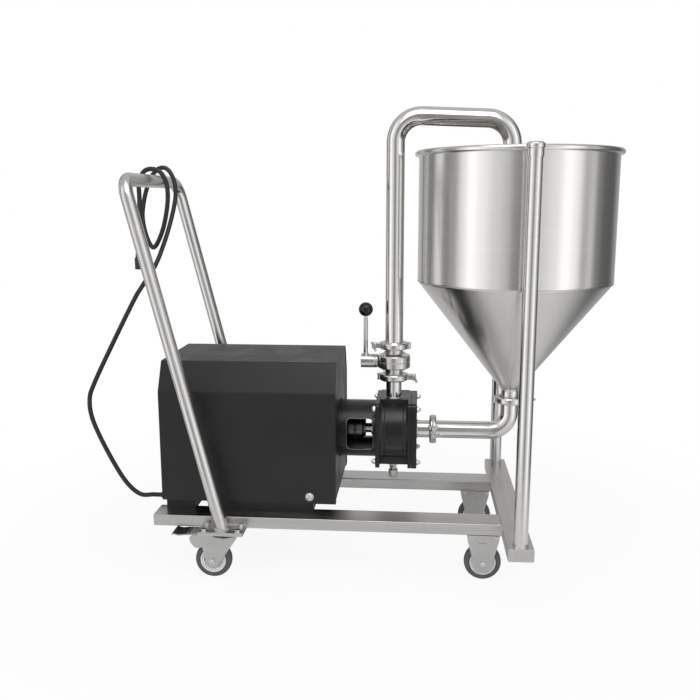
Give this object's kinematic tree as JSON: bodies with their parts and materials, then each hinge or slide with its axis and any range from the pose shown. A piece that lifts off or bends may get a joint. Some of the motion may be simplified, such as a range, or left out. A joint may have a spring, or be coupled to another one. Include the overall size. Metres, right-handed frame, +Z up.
{
  "type": "inline high shear homogenizer",
  "caption": "Mobile inline high shear homogenizer: a hopper feeds a rotor-stator pump on a motor, a swan neck with a butterfly valve returns the product, all on a push cart.",
  "frame": {"origin": "centre of the cart's footprint on the floor, without the cord", "axes": "+X towards the hopper end, +Y to the rear side, +Z up; the motor and pump shafts run along X"},
  "size_m": [1.4984, 0.732, 1.2903],
  "materials": {
    "brushed_stainless": "brushed satin stainless steel",
    "polished_stainless": "polished stainless steel",
    "zinc_plated_steel": "bright zinc plated pressed steel",
    "black_powder_coat": "black satin powder coat",
    "black_phenolic": "black gloss phenolic",
    "grey_rubber": "dark grey solid rubber",
    "light_grey_nylon": "light grey moulded nylon",
    "black_rubber": "black rubber"
  },
  "bodies": {
    "cart": {"front_rail": "brushed_stainless", "rear_rail": "brushed_stainless", "cross_beam": "brushed_stainless", "front_post": "brushed_stainless", "rear_post": "brushed_stainless", "front_hopper_bracket": "brushed_stainless", "rear_hopper_bracket": "brushed_stainless", "push_handle": "brushed_stainless", "drain_plug": "brushed_stainless", "hopper": "polished_stainless", "feed_elbow": "polished_stainless", "swan_neck": "polished_stainless", "neck_clamp_band": "polished_stainless", "inlet_clamp_band": "polished_stainless", "lower_clamp_band": "polished_stainless", "upper_clamp_band": "polished_stainless", "inlet_port": "polished_stainless", "outlet_port": "polished_stainless", "stator": "polished_stainless", "mechanical_seal": "polished_stainless", "valve_body": "polished_stainless", "front_rigid_fork": "zinc_plated_steel", "rear_rigid_fork": "zinc_plated_steel", "front_swivel_plate": "zinc_plated_steel", "rear_swivel_plate": "zinc_plated_steel", "pump_housing": "black_powder_coat", "pump_front_cover": "black_powder_coat", "lantern": "black_powder_coat", "motor": "black_powder_coat", "fan_cowl": "black_powder_coat", "motor_cover": "black_powder_coat", "cover_end_panel": "black_powder_coat", "motor_base": "black_powder_coat", "cover_support": "black_powder_coat", "strain_relief": "black_rubber", "power_cord": "black_rubber", "cord_plug": "black_rubber"},
    "front_swivel_body": {"front_swivel_fork": "zinc_plated_steel"},
    "rear_swivel_body": {"rear_swivel_fork": "zinc_plated_steel"},
    "front_swivel_wheel": {"front_swivel_wheel_hub": "light_grey_nylon", "front_swivel_tyre": "grey_rubber"},
    "rear_swivel_wheel": {"rear_swivel_wheel_hub": "light_grey_nylon", "rear_swivel_tyre": "grey_rubber"},
    "front_rigid_wheel": {"front_rigid_wheel_hub": "light_grey_nylon", "front_rigid_tyre": "grey_rubber"},
    "rear_rigid_wheel": {"rear_rigid_wheel_hub": "light_grey_nylon", "rear_rigid_tyre": "grey_rubber"},
    "front_brake_pedal": {"front_swivel_brake_pedal": "zinc_plated_steel"},
    "rear_brake_pedal": {"rear_swivel_brake_pedal": "zinc_plated_steel"},
    "valve_spindle": {"valve_lever": "polished_stainless", "valve_disc": "polished_stainless", "lever_knob": "black_phenolic"},
    "rotor_shaft": {"rotor": "polished_stainless", "pump_shaft": "brushed_stainless", "coupling": "brushed_stainless", "motor_shaft": "brushed_stainless"},
    "neck_wing_nut": {"neck_clamp_wing_nut": "polished_stainless"},
    "inlet_wing_nut": {"inlet_clamp_wing_nut": "polished_stainless"},
    "lower_wing_nut": {"lower_clamp_wing_nut": "polished_stainless"},
    "upper_wing_nut": {"upper_clamp_wing_nut": "polished_stainless"}
  },
  "joints": [
    {"name": "front_swivel_turn", "type": "hinge", "parent": "cart", "child": "front_swivel_body", "pos_m": [-0.41075, -0.215, 0.13], "axis": [0, 0, 1], "continuous": true},
    {"name": "front_swivel_wheel_spin", "type": "hinge", "parent": "front_swivel_body", "child": "front_swivel_wheel", "pos_m": [-0.44475, -0.215, 0.051], "axis": [0, 1, 0], "continuous": true},
    {"name": "front_brake_press", "type": "hinge", "parent": "front_swivel_body", "child": "front_brake_pedal", "pos_m": [-0.49475, -0.215, 0.1169], "axis": [0, -1, 0], "range_deg": [0, 15]},
    {"name": "front_rigid_wheel_spin", "type": "hinge", "parent": "cart", "child": "front_rigid_wheel", "pos_m": [0.30275, -0.172, 0.051], "axis": [0, 1, 0], "continuous": true},
    {"name": "rear_swivel_turn", "type": "hinge", "parent": "cart", "child": "rear_swivel_body", "pos_m": [-0.41075, 0.215, 0.13], "axis": [0, 0, 1], "continuous": true},
    {"name": "rear_swivel_wheel_spin", "type": "hinge", "parent": "rear_swivel_body", "child": "rear_swivel_wheel", "pos_m": [-0.44475, 0.215, 0.051], "axis": [0, 1, 0], "continuous": true},
    {"name": "rear_brake_press", "type": "hinge", "parent": "rear_swivel_body", "child": "rear_brake_pedal", "pos_m": [-0.49475, 0.215, 0.1169], "axis": [0, -1, 0], "range_deg": [0, 15]},
    {"name": "rear_rigid_wheel_spin", "type": "hinge", "parent": "cart", "child": "rear_rigid_wheel", "pos_m": [0.30275, 0.172, 0.051], "axis": [0, 1, 0], "continuous": true},
    {"name": "valve_turn", "type": "hinge", "parent": "cart", "child": "valve_spindle", "pos_m": [0.04825, 0, 0.5795], "axis": [1, 0, 0], "range_deg": [0, 90]},
    {"name": "rotor_spin", "type": "hinge", "parent": "cart", "child": "rotor_shaft", "pos_m": [0.04825, 0, 0.378], "axis": [1, 0, 0], "continuous": true},
    {"name": "neck_wing_nut_turn", "type": "hinge", "parent": "cart", "child": "neck_wing_nut", "pos_m": [0.44025, -0.0098, 0.4715], "axis": [0, -1, 0], "continuous": true},
    {"name": "inlet_wing_nut_turn", "type": "hinge", "parent": "cart", "child": "inlet_wing_nut", "pos_m": [0.16325, -0.058, 0.3878], "axis": [0, 0, 1], "continuous": true},
    {"name": "lower_wing_nut_turn", "type": "hinge", "parent": "cart", "child": "lower_wing_nut", "pos_m": [0.10625, -0.0098, 0.5335], "axis": [0, -1, 0], "continuous": true},
    {"name": "upper_wing_nut_turn", "type": "hinge", "parent": "cart", "child": "upper_wing_nut", "pos_m": [-0.00975, -0.0098, 0.6255], "axis": [0, -1, 0], "continuous": true}
  ]
}
